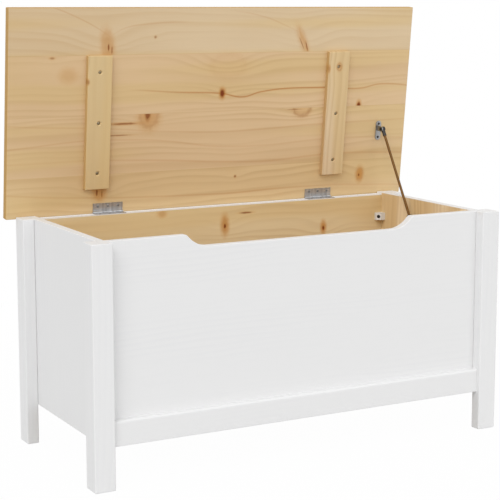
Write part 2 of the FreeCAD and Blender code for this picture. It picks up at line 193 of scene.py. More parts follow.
# The glue seams between the lid's boards, from its rear edge, and its knots, from its left rear corner.
LID_SEAMS = (86 * MM, 216 * MM, 346 * MM)
LID_KNOTS = (
    Knot(222 * MM, 366 * MM, 13 * MM, 30 * MM, 0.55, 0.10, 0.12, 34 * MM, 90 * MM, -0.12, low=LID_SEAMS[2]),
    Knot(224 * MM, 362 * MM, 2.5 * MM, 9 * MM, 0.30, 0.90, low=LID_SEAMS[2]),
    Knot(232 * MM, 356 * MM, 2 * MM, 10 * MM, 0.30, 0.60, low=LID_SEAMS[2]),
    Knot(333 * MM, 383 * MM, 3.5 * MM, 3.5 * MM, 0.30, 0.50, 0.00, 5 * MM),
    Knot(703 * MM, 372 * MM, 11 * MM, 30 * MM, 0.26, 0.00, 0.10, 26 * MM, 80 * MM, -0.42, low=LID_SEAMS[2]),
    Knot(709 * MM, 364 * MM, 4 * MM, 22 * MM, 0.40, 0.08, lean=-0.42, low=LID_SEAMS[2]),
    Knot(697 * MM, 382 * MM, 2.5 * MM, 16 * MM, 0.35, 0.06, lean=-0.3, low=LID_SEAMS[2]),
    Knot(700 * MM, 366 * MM, 2 * MM, 16 * MM, 0.30, 0.45, lean=-0.5, low=LID_SEAMS[2]),
    Knot(714 * MM, 358 * MM, 2 * MM, 14 * MM, 0.30, 0.65, lean=-0.3, low=LID_SEAMS[2]),
    Knot(97 * MM, 341 * MM, 6 * MM, 3 * MM, 0.40, 0.50, 0.00, 5 * MM),
    Knot(134 * MM, 304 * MM, 18 * MM, 14 * MM, 0.35, 0.05, 0.00, 10 * MM, 40 * MM),
    Knot(515 * MM, 318 * MM, 44 * MM, 26 * MM, 0.10, 0.00, 0.06, 30 * MM, 90 * MM),
    Knot(502 * MM, 256 * MM, 7 * MM, 11 * MM, 0.90, 1.00, 0.30, 12 * MM, 40 * MM),
    Knot(324 * MM, 216 * MM, 23 * MM, 30 * MM, 0.55, 0.08, 0.30, 22 * MM, 60 * MM, high=LID_SEAMS[1]),
    Knot(321 * MM, 214 * MM, 7 * MM, 14 * MM, 0.40, 0.85, 0.30, high=LID_SEAMS[1]),
    Knot(266 * MM, 196 * MM, 34 * MM, 3 * MM, 0.60, 0.65),
    Knot(250 * MM, 171 * MM, 38 * MM, 1.8 * MM, 0.30, 0.55),
    Knot(712 * MM, 218 * MM, 23 * MM, 21 * MM, 0.26, 0.00, 0.44, 20 * MM, 70 * MM, high=LID_SEAMS[1]),
    Knot(690 * MM, 213 * MM, 24 * MM, 1.5 * MM, 0.20, 0.40),
    Knot(866 * MM, 216 * MM, 6 * MM, 11 * MM, 0.90, 1.00, 0.00, 10 * MM, 40 * MM, low=LID_SEAMS[1]),
    Knot(882 * MM, 51 * MM, 9 * MM, 15 * MM, 0.90, 0.04, 0.22, 16 * MM, 45 * MM),
    Knot(880 * MM, 49 * MM, 3 * MM, 4 * MM, 0.50, 0.75),
    Knot(545 * MM, 64 * MM, 3.5 * MM, 3.5 * MM, 0.40, 0.65, 0.00, 6 * MM),
    Knot(212 * MM, 52 * MM, 14 * MM, 20 * MM, 0.80, 0.08, 0.16, 22 * MM, 50 * MM),
    Knot(206 * MM, 47 * MM, 3 * MM, 9 * MM, 0.45, 0.85),
    Knot(218 * MM, 43 * MM, 1.9 * MM, 9 * MM, 0.45, 0.60),
)
# The lid's strong rings, in metres along it from its left end and across it from its rear edge.
LID_RINGS = (
    Ring(((0.00, 0.268), (0.28, 0.269), (0.40, 0.262), (0.50, 0.257), (0.555, 0.247), (0.60, 0.257),
          (0.77, 0.262), (0.87, 0.257), (0.92, 0.266), (1.00, 0.262)), 1.7 * MM, 0.80, start=0.30),
    Ring(((0.10, 0.446), (0.14, 0.430), (0.19, 0.406), (0.22, 0.388)),
         1.6 * MM, 0.35, start=0.09, end=0.21),
    Ring(((0.235, 0.388), (0.26, 0.402), (0.32, 0.412), (0.45, 0.414)),
         1.6 * MM, 0.22, start=0.245, end=0.40),
    Ring(((0.52, 0.440), (0.60, 0.426), (0.66, 0.404), (0.69, 0.392)),
         1.6 * MM, 0.25, start=0.54, end=0.68),
    Ring(((0.00, 0.052), (0.20, 0.036), (0.50, 0.026), (0.75, 0.030), (1.00, 0.018)), 2.0 * MM, 0.40),
    Ring(((0.00, 0.200), (0.25, 0.185), (0.50, 0.168), (0.75, 0.176), (1.00, 0.182)), 1.8 * MM, 0.25),
    Ring(((0.00, 0.150), (0.30, 0.160), (0.55, 0.132), (0.80, 0.142), (1.00, 0.135)), 1.8 * MM, 0.25),
    Ring(((0.00, 0.118), (0.35, 0.112), (0.60, 0.096), (0.80, 0.104), (1.00, 0.098)), 2.2 * MM, 0.25),
)

# Knots of the battens, along them from their lower ends and across from the middle of the box.
BATTEN_KNOTS = (
    Knot(234 * MM, -326 * MM, 6 * MM, 4 * MM, 0.50, 0.50, 0.20, 5 * MM),
    Knot(254 * MM, 299 * MM, 9 * MM, 7 * MM, 0.40, 0.20, 0.35, 6 * MM),
    Knot(250 * MM, 272 * MM, 8 * MM, 3 * MM, 0.50, 0.30, 0.20, 5 * MM),
)
# Knots inside the back panel, along it from the middle of the box and up from the ground.
BACK_KNOTS = (
    Knot(10 * MM, 436 * MM, 9 * MM, 20 * MM, 0.80, 0.15, 0.10, 18 * MM, 50 * MM),
    Knot(10 * MM, 434 * MM, 3.5 * MM, 7 * MM, 0.50, 0.95),
    Knot(271 * MM, 413 * MM, 7 * MM, 14 * MM, 0.80, 0.20, 0.10, 18 * MM, 50 * MM),
    Knot(271 * MM, 411 * MM, 3.5 * MM, 7 * MM, 0.60, 0.95),
    Knot(65 * MM, 461 * MM, 18 * MM, 2.5 * MM, 0.40, 0.70),
    Knot(-147 * MM, 472 * MM, 10 * MM, 7 * MM, 0.50, 0.10, 0.00, 6 * MM),
)


def span(node, direction):
    """How far a CAD node reaches along a direction, from its lowest to its highest point."""
    reach = [direction.dot(vertex.co) for vertex in frame["nodes"][node].data.vertices]
    return min(reach), max(reach)


def middle(node, direction):
    """The middle of a CAD node along a direction."""
    low, high = span(node, direction)
    return (low + high) / 2


def colour_setting(name, description, default):
    """A colour that a user can change."""
    return FloatVectorProperty(name=name, description=description, subtype="COLOR", default=default)


def length_setting(name, description, default):
    """A length that a user can change."""
    return FloatProperty(name=name, description=description, unit="LENGTH", default=default)


def share_setting(name, description, default):
    """A share from 0 to 1 that a user can change."""
    return FloatProperty(
        name=name, description=description, subtype="FACTOR", min=0, max=1, default=default)


def angle_setting(name, description, default):
    """An angle that a user can change."""
    return FloatProperty(name=name, description=description, unit="ROTATION", default=default)


def place_setting(name, description, default):
    """A place in the scene that a user can change."""
    return FloatVectorProperty(
        name=name, description=description, subtype="TRANSLATION", unit="LENGTH", default=default)


class PaintSettings(bpy.types.PropertyGroup):
    """White paint on the outside of the box."""

    colour: colour_setting("Paint", "Colour of the paint", (0.83, 0.83, 0.83))
    grain_colour: colour_setting("Grain", "Paint over the raised grain", (0.81, 0.81, 0.815))
    roughness: share_setting("Roughness", "Roughness of the paint", 0.5)
    gloss: share_setting("Gloss", "How much the paint reflects", 0.4)
    ring_spacing: length_setting("Ring Spacing", "Height of one ring under the paint", 13 * MM)
    grain_height: length_setting("Grain Height", "How far the grain stands out", 0.05 * MM)


class PineSettings(bpy.types.PropertyGroup):
    """Clear-lacquered pine of the lid, the battens and the inside."""

    early: colour_setting("Early Wood", "Pale wood between rings", (0.775, 0.566, 0.339))
    yellow: colour_setting("Yellow Wood", "Yellower wood in bands", (0.745, 0.55, 0.275))
    late: colour_setting("Late Wood", "Darker wood of the rings", (0.54, 0.34, 0.15))
    grey_early: colour_setting("Top Board", "Greyer board at the lid's front", (0.75, 0.586, 0.379))
    warm_early: colour_setting("Bottom Board", "Warmer board at the hinges", (0.78, 0.577, 0.322))
    batten_left: colour_setting("Left Batten", "Wood of the left batten", (0.728, 0.551, 0.298))
    batten_right: colour_setting("Right Batten", "Wood of the right batten", (0.793, 0.621, 0.408))
    inside: colour_setting("Inside", "Wood inside the box", (0.80, 0.645, 0.395))
    # Painted light: the side panels' inner faces are paler than the rest of the inside, to stand in for
    # more light on them.
    inside_end: colour_setting("Inside End", "Paler wood inside its ends", (0.98, 0.83, 0.59))
    ring: colour_setting("Strong Ring", "A strong reddish ring", (0.50, 0.20, 0.05))
    # This colour also paints the shade on the battens' long sides.
    edge: colour_setting("Edge", "Sawn edges, which soak up lacquer", (0.50, 0.29, 0.085))
    halo: colour_setting("Knot Halo", "Resinous wood round a knot", (0.62, 0.30, 0.075))
    heart: colour_setting("Knot Heart", "Heart of a knot", (0.22, 0.048, 0.010))
    outline: colour_setting("Knot Outline", "Bark round a knot", (0.25, 0.095, 0.028))
    ring_spacing: length_setting("Ring Spacing", "Height of one growth ring", 17 * MM)
    ring_height: length_setting("Ring Height", "How far the rings stand out", 0.05 * MM)
    contrast: share_setting("Contrast", "Strength of the rings", 0.28)
    roughness: share_setting("Roughness", "Roughness of the wood", 0.5)
    gloss: share_setting("Gloss", "How much the lacquer reflects", 0.15)


class FittingSettings(bpy.types.PropertyGroup):
    """Metal and plastic fittings and their screws."""

    plated: colour_setting("Plated Steel", "Zinc plate of the hinges", (0.62, 0.62, 0.625))
    bright: colour_setting("Bright Steel", "Plate of the stay", (0.42, 0.415, 0.41))
    bronze: colour_setting("Bronzed Steel", "Rod of the stay", (0.195, 0.097, 0.028))
    # On the corner blocks' screws this dark steel is partly painted shade, standing in for the shade of
    # their holes.
    dark: colour_setting(
        "Dark Steel", "Blackened pivot, and screws of stay and blocks", (0.055, 0.05, 0.045))
    screw: colour_setting("Screw", "Screw heads of the hinges", (0.34, 0.335, 0.33))
    brass: colour_setting("Batten Screw Plate", "Yellow plate of the batten screws", (0.34, 0.28, 0.18))
    white_plastic: colour_setting("White Plastic", "Corner blocks", (0.80, 0.80, 0.79))
    black_plastic: colour_setting("Black Plastic", "End of the rod", (0.022, 0.021, 0.020))
    batten_head: length_setting("Batten Screw", "Radius of a batten screw's head", 3.3 * MM)
    batten_sink: length_setting("Sink", "Depth of a batten screw below the face", 2.3 * MM)
    hinge_head: length_setting("Hinge Screw", "Radius of a hinge screw's head", 3.0 * MM)
    stay_head: length_setting("Stay Screw", "Radius of a stay screw's head", 3.0 * MM)
    block_head: length_setting("Block Screw", "Radius of a block screw's head", 4.2 * MM)
    leaf_thickness: length_setting("Leaf", "Thickness of a hinge leaf", 1.2 * MM)
    bracket_thickness: length_setting("Bracket", "Thickness of the stay bracket's plate", 2.0 * MM)
    hinge_screws: IntProperty(name="Hinge Screws", description="Screws in each hinge leaf", default=3)


class StageSettings(bpy.types.PropertyGroup):
    """Floor, light and camera."""

    world_light: FloatProperty(name="World Light", description="Strength of the even light", default=0.75)
    key_strength: FloatProperty(
        name="Key Light", description="Strength of the light from the left", default=1.0)
    key_place: place_setting("Key Place", "Where the light from the left comes from", (-2.2, -2.1, 2.8))
    fill_strength: FloatProperty(
        name="Fill Light", description="Strength of the light from the front", default=0.28)
    fill_place: place_setting(
        "Fill Place", "Where the light from the front comes from", (1.0, -3.6, 1.4))
    lamp_angle: angle_setting("Lamp Angle", "How wide a light's source looks", 0.6)
    floor_tone: share_setting("Floor Tone", "How much light the floor throws back", 0.68)
    shadow: share_setting("Shadow", "How much of its shadow the floor shows", 0.015)
    camera_place: place_setting("Camera", "Place of the camera", (-1.527421, -2.756294, 0.931667))
    camera_turn: angle_setting("Turn", "Turn of the camera to the right", 0.499927)
    camera_tilt: angle_setting("Tilt", "Tilt of the camera downwards", 0.14846)
    lens: FloatProperty(
        name="Lens", description="Focal length on a 36 mm sensor", subtype="DISTANCE_CAMERA",
        default=106.42)
    shift: FloatProperty(
        name="Shift", description="Rise of the lens that keeps the legs nearly upright", default=-0.05)


class Value:
    """A number that changes over a surface; arithmetic on it adds Math nodes."""

    def __init__(self, finish, socket):
        self.finish = finish
        self.socket = socket

    def __add__(self, other):
        return self.finish.math("ADD", self, other)

    __radd__ = __add__

    def __sub__(self, other):
        return self.finish.math("SUBTRACT", self, other)

    def __rsub__(self, other):
        return self.finish.math("SUBTRACT", other, self)

    def __mul__(self, other):
        return self.finish.math("MULTIPLY", self, other)

    __rmul__ = __mul__

    def __truediv__(self, other):
        return self.finish.math("DIVIDE", self, other)

    def __rpow__(self, other):
        return self.finish.math("POWER", other, self)

    def __neg__(self):
        return self * -1

    def __abs__(self):
        return self.finish.math("ABSOLUTE", self)

    def __lt__(self, other):
        return self.finish.math("LESS_THAN", self, other)

    def __gt__(self, other):
        return self.finish.math("GREATER_THAN", self, other)


class Finish:
    """A node tree, with short ways to add nodes to it."""

    def __init__(self, owner):
        self.owner = owner
        owner.use_nodes = True
        self.tree = owner.node_tree
        self.tree.nodes.clear()

    def node(self, kind, settings=None, sockets=None):
        """Adds a node; the settings come first, then the values or links of its sockets."""
        node = self.tree.nodes.new(kind)
        for name, setting in (settings or {}).items():
            if name == "stops":
                self.set_stops(node.color_ramp, setting)
            else:
                setattr(node, name, setting)
        for name, value in (sockets or {}).items():
            self.join(value, node.inputs[name])
        return node

    def join(self, value, socket):
        """Links a value to a socket, or sets the socket to a number, colour or vector."""
        if isinstance(value, Value):
            value = value.socket
        if isinstance(value, bpy.types.NodeSocket):
            self.tree.links.new(value, socket)
        elif socket.type == "RGBA":
            socket.default_value = (*value[:3], 1.0)
        else:
            socket.default_value = value

    @staticmethod
    def set_stops(ramp, stops):
        """Gives a colour ramp its stops, each a place and a colour."""
        ramp.interpolation = "CONSTANT"
        while len(ramp.elements) < len(stops):
            ramp.elements.new(1.0)
        for element, (place, colour) in zip(ramp.elements, stops):
            element.position = place
            element.color = (*colour[:3], 1.0)

    def math(self, operation, *values):
        """A Math node's result."""
        node = self.node("ShaderNodeMath", {"operation": operation}, dict(enumerate(values)))
        return Value(self, node.outputs[0])

    def distance(self, direction, start=0.0):
        """Distance of the surface along a direction, from a start."""
        place = self.node("ShaderNodeTexCoord").outputs["Object"]
        sockets = {0: place, 1: tuple(direction)}
        reach = self.node("ShaderNodeVectorMath", {"operation": "DOT_PRODUCT"}, sockets)
        return Value(self, reach.outputs["Value"]) - start

    def noise(self, along, across, depth, detail=0.0):
        """Smooth noise from 0 to 1, with about one bump for each unit of the three values."""
        vector = self.node("ShaderNodeCombineXYZ", {}, {0: along, 1: across, 2: depth})
        sockets = {"Vector": vector.outputs[0], "Scale": 1.0, "Detail": detail}
        return Value(self, self.node("ShaderNodeTexNoise", {}, sockets).outputs[0])

    def smooth(self, value, low, high):
        """Rises smoothly from 0 at low to 1 at high."""
        settings = {"interpolation_type": "SMOOTHSTEP"}
        sockets = {"Value": value, "From Min": low, "From Max": high}
        return Value(self, self.node("ShaderNodeMapRange", settings, sockets).outputs[0])

    def bell(self, value, width):
        """A bell curve: 1 at zero, about a third at the width, and next to nothing at twice that."""
        share = value / width
        return math.e ** -(share * share)

    def rings(self, height, spacing, begin, peak):
        """Rings over a height: each rises from 0 at its start to 1 at its peak, and falls to 0 again."""
        phase = self.math("FRACT", height / spacing)
        return self.smooth(phase, begin, peak) * (1 - self.smooth(phase, peak, 1.0))

    def mix(self, factor, first, second):
        """A colour between two others."""
        node = self.node("ShaderNodeMix", {"data_type": "RGBA"}, {0: factor, 6: first, 7: second})
        return node.outputs[2]

    def ramp(self, value, stops):
        """Steps from colour to colour as a value rises."""
        return self.node("ShaderNodeValToRGB", {"stops": stops}, {"Fac": value}).outputs["Color"]

    def curve(self, value, points):
        """A smooth curve through points, all between 0 and 1."""
        node = self.node("ShaderNodeFloatCurve", {}, {"Value": value})
        line = node.mapping.curves[0]
        while len(line.points) < len(points):
            line.points.new(0.5, 0.5)
        for point, place in zip(line.points, points):
            point.location = place
        node.mapping.update()
        return Value(self, node.outputs[0])

    def surface(self, colour, roughness, height, relief, **constants):
        """Ends a material in one shader, on which a height of 1 stands out by the relief."""
        bump = self.node("ShaderNodeBump", {}, {"Strength": 1.0, "Distance": relief, "Height": height})
        sockets = {"Base Color": colour, "Roughness": roughness, "Normal": bump.outputs["Normal"]}
        sockets.update({name.replace("_", " "): value for name, value in constants.items()})
        shader = self.node("ShaderNodeBsdfPrincipled", {}, sockets)
        self.node("ShaderNodeOutputMaterial", {}, {"Surface": shader.outputs["BSDF"]})
        return self.owner


def new_finish(name):
    """An empty material."""
    return Finish(bpy.data.materials.new(name))


def board_on(finish, along, across, depth, node=None):
    """A board's directions, from the corner of the node that is named, or else from the box's origin."""
    directions = (along, across, depth)
    starts = [span(node, direction)[0] if node else 0.0 for direction in directions]
    return Board(*[finish.distance(direction, start) for direction, start in zip(directions, starts)])


def board_noise(finish, board, along, across, seed, detail=0.0):
    """Noise on a board, with so many bumps in a metre along the grain and across it."""
    return finish.noise(board.along * along, board.across * across, board.depth * across + seed, detail)


def knot_reach(finish, board, knot, length, height):
    """How far a point is from a knot's middle, in shares of a half length and a half height."""
    above = board.across - knot.across
    along = (board.along - knot.along - above * knot.lean) / length
    across = above / height
    return finish.math("SQRT", along * along + across * across)


def within_seams(board, knot, mask):
    """Cuts a knot's mask off at the seams beside it."""
    if knot.low is not None:
        mask = mask * (board.across > knot.low)
    if knot.high is not None:
        mask = mask * (board.across < knot.high)
    return mask


def bent_rings(finish, board, knots, height):
    """Bends the growth rings round the knots."""
    for knot in knots:
        if knot.bend:
            reach = knot_reach(finish, board, knot, knot.spread, knot.spread / 2)
            height = height + within_seams(board, knot, finish.bell(reach, 1.0) * knot.bend)
    return height


def knotted(finish, look, board, knots, ragged, face, colour):
    """Draws the knots on a board: a resinous halo, a heart and, on its good face, a dark outline."""
    for knot in knots:
        reach = knot_reach(finish, board, knot, knot.length, knot.height) + ragged
        halo = within_seams(board, knot, 1 - finish.smooth(reach, *HALO_FADE))
        heart = within_seams(board, knot, 1 - finish.smooth(reach, *HEART_FADE))
        colour = finish.mix(halo * knot.halo, colour, look.halo)
        colour = finish.mix(heart * knot.heart, colour, look.heart)
        if knot.outline:
            line = finish.bell(reach - OUTLINE_PLACE, OUTLINE_WIDTH)
            outline = within_seams(board, knot, line) * face
            bark = [a + (b - a) * knot.outline for a, b in zip(look.ring, look.outline)]
            colour = finish.mix(outline * knot.outline, colour, bark)
    return colour


def pine(finish, look, board, early, contrast, seed, knots=(), rings=(), face=1.0):
    """Colour of pine on a board, and its ring lines for relief and gloss."""
    sway = board_noise(finish, board, along=1.6, across=6, seed=seed, detail=2) - 0.5
    wave = board_noise(finish, board, along=7, across=11, seed=seed + 3) - 0.5
    height = board.across + sway * RING_SWAY + wave * RING_WAVE + board.depth * RING_SLOPE
    height = bent_rings(finish, board, knots, height)
    uneven = finish.noise(height * RING_CHANGES, 0.0, seed) - 0.5
    late = finish.rings(height + uneven * RING_UNEVENNESS, look.ring_spacing, *LATE_WOOD)
    figure = finish.noise(board.along * 2.2, board.across * 15, seed + 9)
    shown = finish.smooth(figure, *SHOWN_RINGS)
    lines = late * (FAINT_RING + shown * (1 - FAINT_RING))

    bands = board_noise(finish, board, along=1.3, across=20, seed=seed + 5)
    bands = finish.smooth(bands, *SHOWN_BANDS)
    fibre = board_noise(finish, board, along=10, across=500, seed=seed, detail=1) - 0.5
    cloud = board_noise(finish, board, along=3, across=12, seed=seed + 4, detail=1) - 0.5
    tone = finish.mix(bands * BAND_SHARE, early, look.yellow)
    late_share = lines * contrast + fibre * FIBRE_SHARE + cloud * CLOUD_SHARE + EVEN_SHARE
    colour = finish.mix(late_share, tone, look.late)

    for ring in rings:
        course = finish.curve(board.along, ring.points) + wave * STRONG_RING_WAVE
        line = finish.bell(board.across - course, ring.width)
        line = line * (FAINT_STRONG_RING + shown * (1 - FAINT_STRONG_RING))
        if ring.start is not None:
            line = line * finish.smooth(board.along, ring.start - RING_FADE, ring.start + RING_FADE)
        if ring.end is not None:
            line = line * (1 - finish.smooth(board.along, ring.end - RING_FADE, ring.end + RING_FADE))
        colour = finish.mix(line * ring.dark, colour, look.ring)
    ragged = board_noise(finish, board, along=120, across=120, seed=seed, detail=1)
    ragged = ragged * RAGGEDNESS - RAGGEDNESS / 2
    return knotted(finish, look, board, knots, ragged, face, colour), lines


def painted(finish, paint, board, seed):
    """Colour of white paint over pine, and the grain that shows through it."""
    sway = board_noise(finish, board, along=1.7, across=9, seed=seed, detail=2) - 0.5
    height = board.across + board.depth + sway * RING_SWAY
    ring = finish.rings(height, paint.ring_spacing, *PAINTED_LATE_WOOD)
    pore = board_noise(finish, board, along=14, across=420, seed=seed, detail=2)
    figure = finish.noise(board.along * 2, board.across * 12, seed + 6)
    shown = finish.smooth(figure, *SHOWN_PAINTED_RINGS)
    grain = ring * shown * RING_GRAIN + finish.smooth(pore, *SHOWN_PORES) * (1 - RING_GRAIN)
    return finish.mix(grain, paint.colour, paint.grain_colour), grain


def painted_finish(name, paint, along, across, depth, seed):
    """Paint all over, on legs and rails."""
    finish = new_finish(name)
    board = board_on(finish, along, across, depth)
    colour, grain = painted(finish, paint, board, seed)
    roughness = paint.roughness + grain * PAINT_ROUGHENING
    return finish.surface(colour, roughness, grain, paint.grain_height, Specular_IOR_Level=paint.gloss)


def panel_finish(node, paint, look, along, across, outward, seed, tone, knots=()):
    """Paint outside and on the edges of a panel, lacquered pine of a tone on its inner face."""
    finish = new_finish(f"{node}_paint")
    board = board_on(finish, along, across, outward)
    white, grain = painted(finish, paint, board, seed)
    wood, lines = pine(finish, look, board, tone, look.contrast, seed + 2, knots)

    low, high = span(node, UP)
    height = finish.distance(UP)
    rim = finish.math("MINIMUM", height - low, high - height)
    to_back = span("back_panel", BACK)[0] + BEHIND_BACK - finish.distance(BACK)
    rim = finish.math("MINIMUM", rim, to_back)
    into_panel = finish.distance(outward, span(node, outward)[0])
    inside = (1 - finish.smooth(into_panel, *INNER_FACE)) * finish.smooth(rim, *PAINTED_RIM)
    outside = 1 - inside
    colour = finish.mix(inside, white, wood)
    roughness = outside * paint.roughness + inside * look.roughness + grain * outside * PAINT_ROUGHENING
    relief = grain * outside + lines * inside * INNER_RELIEF
    return finish.surface(colour, roughness, relief, paint.grain_height, Specular_IOR_Level=look.gloss)


def lid_finish(look):
    """The lid's glued boards, each with its own tone and rings, and its darker sawn edges."""
    finish = new_finish("lid_pine")
    board = board_on(finish, RIGHT, LID_UP, -LID_FRONT, "lid_panel")
    left, right = span("lid_panel", RIGHT)
    rear, front = span("lid_panel", LID_UP)
    length = right - left
    depth = front - rear

    number = sum(board.across > seam for seam in LID_SEAMS)
    tones = (look.warm_early, look.early, look.early, look.grey_early)
    stops = [(place / depth, tone) for place, tone in zip((0.0, *LID_SEAMS), tones)]
    early = finish.ramp(board.across / depth, stops)
    shuffled = board._replace(depth=board.depth + number * BOARD_STEP)
    contrast = (HINGE_BOARD_RINGS - number * RING_STEP) * look.contrast
    inner = 1 - finish.smooth(board.depth, *OUTLINE_DEPTH)
    colour, lines = pine(
        finish, look, shuffled, early, contrast,
        seed=1.0, knots=LID_KNOTS, rings=LID_RINGS, face=inner)

    seam = sum(1 - finish.smooth(abs(board.across - place), *GLUE_LINE) for place in LID_SEAMS)
    colour = finish.mix(seam * GLUE_SHARE, colour, look.late)
    # Painted shade: the lid gets darker towards its left end, as if less light fell there.
    painted_left_shade = 1 - finish.smooth(board.along, 0.0, length / 2)
    colour = finish.mix(painted_left_shade * LEFT_END_PAINTED_SHADE, colour, look.late)
    to_ends = finish.math("MINIMUM", board.along, length - board.along)
    to_long_edges = finish.math("MINIMUM", board.across, depth - board.across)
    edge = 1 - finish.smooth(finish.math("MINIMUM", to_ends, to_long_edges), *SAWN_EDGE)
    colour = finish.mix(edge * SAWN_SHARE, colour, look.edge)
    roughness = look.roughness + lines * LACQUER_ROUGHENING
    relief = lines - seam
    return finish.surface(colour, roughness, relief, look.ring_height, Specular_IOR_Level=look.gloss)


def plank_finish(name, look, tone, along, across, depth, seed, node=None, knots=()):
    """A plain lacquered pine plank of a tone; where a node is named, its long sides get painted shade."""
    finish = new_finish(name)
    board = board_on(finish, along, across, depth)
    if node:
        board = board._replace(along=finish.distance(along, span(node, along)[0]))
    colour, lines = pine(finish, look, board, tone, look.contrast, seed, knots)
    if node:
        # Painted shade on the batten's long sides, in the colour of the sawn edges.
        off_middle = abs(board.across - middle(node, across))
        half_width = span(node, across)[1] - middle(node, across)
        side = finish.smooth(off_middle, *[half_width - inset for inset in BATTEN_SHADE_INSETS])
        colour = finish.mix(side * PAINTED_SIDE_SHADE, colour, look.edge)
    roughness = look.roughness + lines * LACQUER_ROUGHENING
    return finish.surface(colour, roughness, lines, look.ring_height, Specular_IOR_Level=look.gloss)


def ply_finish(look):
    """Plywood of the floor: a broad peeled figure, with the layers on its edges."""
    finish = new_finish("floor_ply")
    board = board_on(finish, RIGHT, BACK, UP)
    sway = finish.noise(board.along * 1.2, board.across * 4, 3.0, detail=3) - 0.5
    breadth = look.ring_spacing * PEELED_BREADTH
    figure = finish.rings(board.across + sway * PEELED_SWAY, breadth, *PEELED_LATE_WOOD)
    fibre = finish.noise(board.along * 20, board.across * 500, board.depth * 900, detail=1)
    layer = finish.math("FRACT", board.depth / PLY_LAYERS) > 0.5
    late_share = figure * PEELED_SHARE + fibre * PEELED_FIBRE_SHARE + layer * LAYER_SHARE
    colour = finish.mix(late_share, look.grey_early, look.late)
    roughness = PLY_ROUGHNESS + figure * LACQUER_ROUGHENING
    return finish.surface(colour, roughness, fibre, look.ring_height)


def metal_finish(name, colour, along, across, roughness, metallic=1.0, banded=0.4, gloss=0.5):
    """Plated or bronzed metal with fine drawn lines and faint bands along them."""
    finish = new_finish(name)
    sheet = board_on(finish, along, across, along.cross(across))
    drawn = finish.noise(sheet.along * 30, sheet.across * 1500, sheet.depth * 1500, detail=1)
    band = finish.noise(sheet.along * 12, sheet.across * 150, sheet.depth * 60, detail=1)
    darker = [share * LINE_TONE for share in colour]
    bands = finish.smooth(band, *SHOWN_METAL_BANDS)
    shade = finish.mix(drawn * LINE_SHARE + bands * banded, colour, darker)
    rough = roughness + (drawn - 0.5) * LINE_ROUGHENING + (band - 0.5) * BAND_ROUGHENING
    return finish.surface(shade, rough, drawn, LINE_DEPTH, Metallic=metallic, Specular_IOR_Level=gloss)


def plastic_finish(name, colour, roughness):
    """Moulded plastic with a fine spark-eroded texture."""
    finish = new_finish(name)
    body = board_on(finish, RIGHT, BACK, UP)
    texture = finish.noise(*[distance * TEXTURE_BUMPS for distance in body], detail=1)
    cloud = finish.noise(*[distance * CLOUD_BUMPS for distance in body])
    darker = [share * PLASTIC_TONE for share in colour]
    shade = finish.mix(cloud * PLASTIC_CLOUD_SHARE + texture * TEXTURE_SHARE, colour, darker)
    rough = roughness + (texture - 0.5) * TEXTURE_ROUGHENING
    return finish.surface(shade, rough, texture, TEXTURE_DEPTH)


def put_on(material, *nodes):
    """Gives CAD nodes their finish."""
    for node in nodes:
        for slot in frame["nodes"][node].material_slots:
            slot.material = material


def both(pattern):
    """The left and the right node of a pair."""
    return [pattern.format(side) for side in SIDES]


class BoxOperator(bpy.types.Operator):
    """Shared by the operators of the storage box."""

    bl_options = {"REGISTER", "UNDO"}


class STORAGEBOX_OT_paint_carcass(BoxOperator):
    """Paint the legs, the rail and the panels, and leave the inside natural pine"""

    bl_idname = "storage_box.paint_carcass"
    bl_label = "Paint Carcass"

    def execute(self, context):
        paint = context.scene.storage_box_paint
        look = context.scene.storage_box_pine
        legs = both("leg_front_{}") + both("leg_rear_{}")
        put_on(painted_finish("leg_paint", paint, UP, RIGHT, BACK, seed=1.0), *legs)
        put_on(painted_finish("rail_paint", paint, RIGHT, UP, BACK, seed=5.0), "front_rail")
        long_panels = (("front_panel", -BACK, 2.0, ()), ("back_panel", BACK, 3.0, BACK_KNOTS))
        for node, outward, seed, knots in long_panels:
            panel = panel_finish(
                node, paint, look, RIGHT, UP, outward, seed, tone=look.inside, knots=knots)
            put_on(panel, node)
        # The side panels' inner faces take the paler wood, which is painted light.
        for node, outward in zip(both("side_panel_{}"), (-RIGHT, RIGHT)):
            panel = panel_finish(
                node, paint, look, UP, BACK, outward, seed=4.0, tone=look.inside_end)
            put_on(panel, node)
        return {"FINISHED"}


class STORAGEBOX_OT_finish_lid(BoxOperator):
    """Lacquer the lid's boards and its two battens"""

    bl_idname = "storage_box.finish_lid"
    bl_label = "Finish Lid"

    def execute(self, context):
        look = context.scene.storage_box_pine
        put_on(lid_finish(look), "lid_panel")
        for node, tone in zip(both("lid_batten_{}"), (look.batten_left, look.batten_right)):
            wood = plank_finish(
                f"{node}_pine", look, tone, LID_UP, RIGHT, LID_FRONT,
                seed=7.0, node=node, knots=BATTEN_KNOTS)
            put_on(wood, node)
        return {"FINISHED"}


class STORAGEBOX_OT_finish_floor(BoxOperator):
    """Give the floor panel its plywood and the cleats under it their pine"""

    bl_idname = "storage_box.finish_floor"
    bl_label = "Finish Floor"

    def execute(self, context):
        look = context.scene.storage_box_pine
        put_on(ply_finish(look), "floor_panel")
        wood = plank_finish("cleat_pine", look, look.early, RIGHT, UP, BACK, seed=11.0)
        put_on(wood, "floor_cleat_front", "floor_cleat_back")
        return {"FINISHED"}


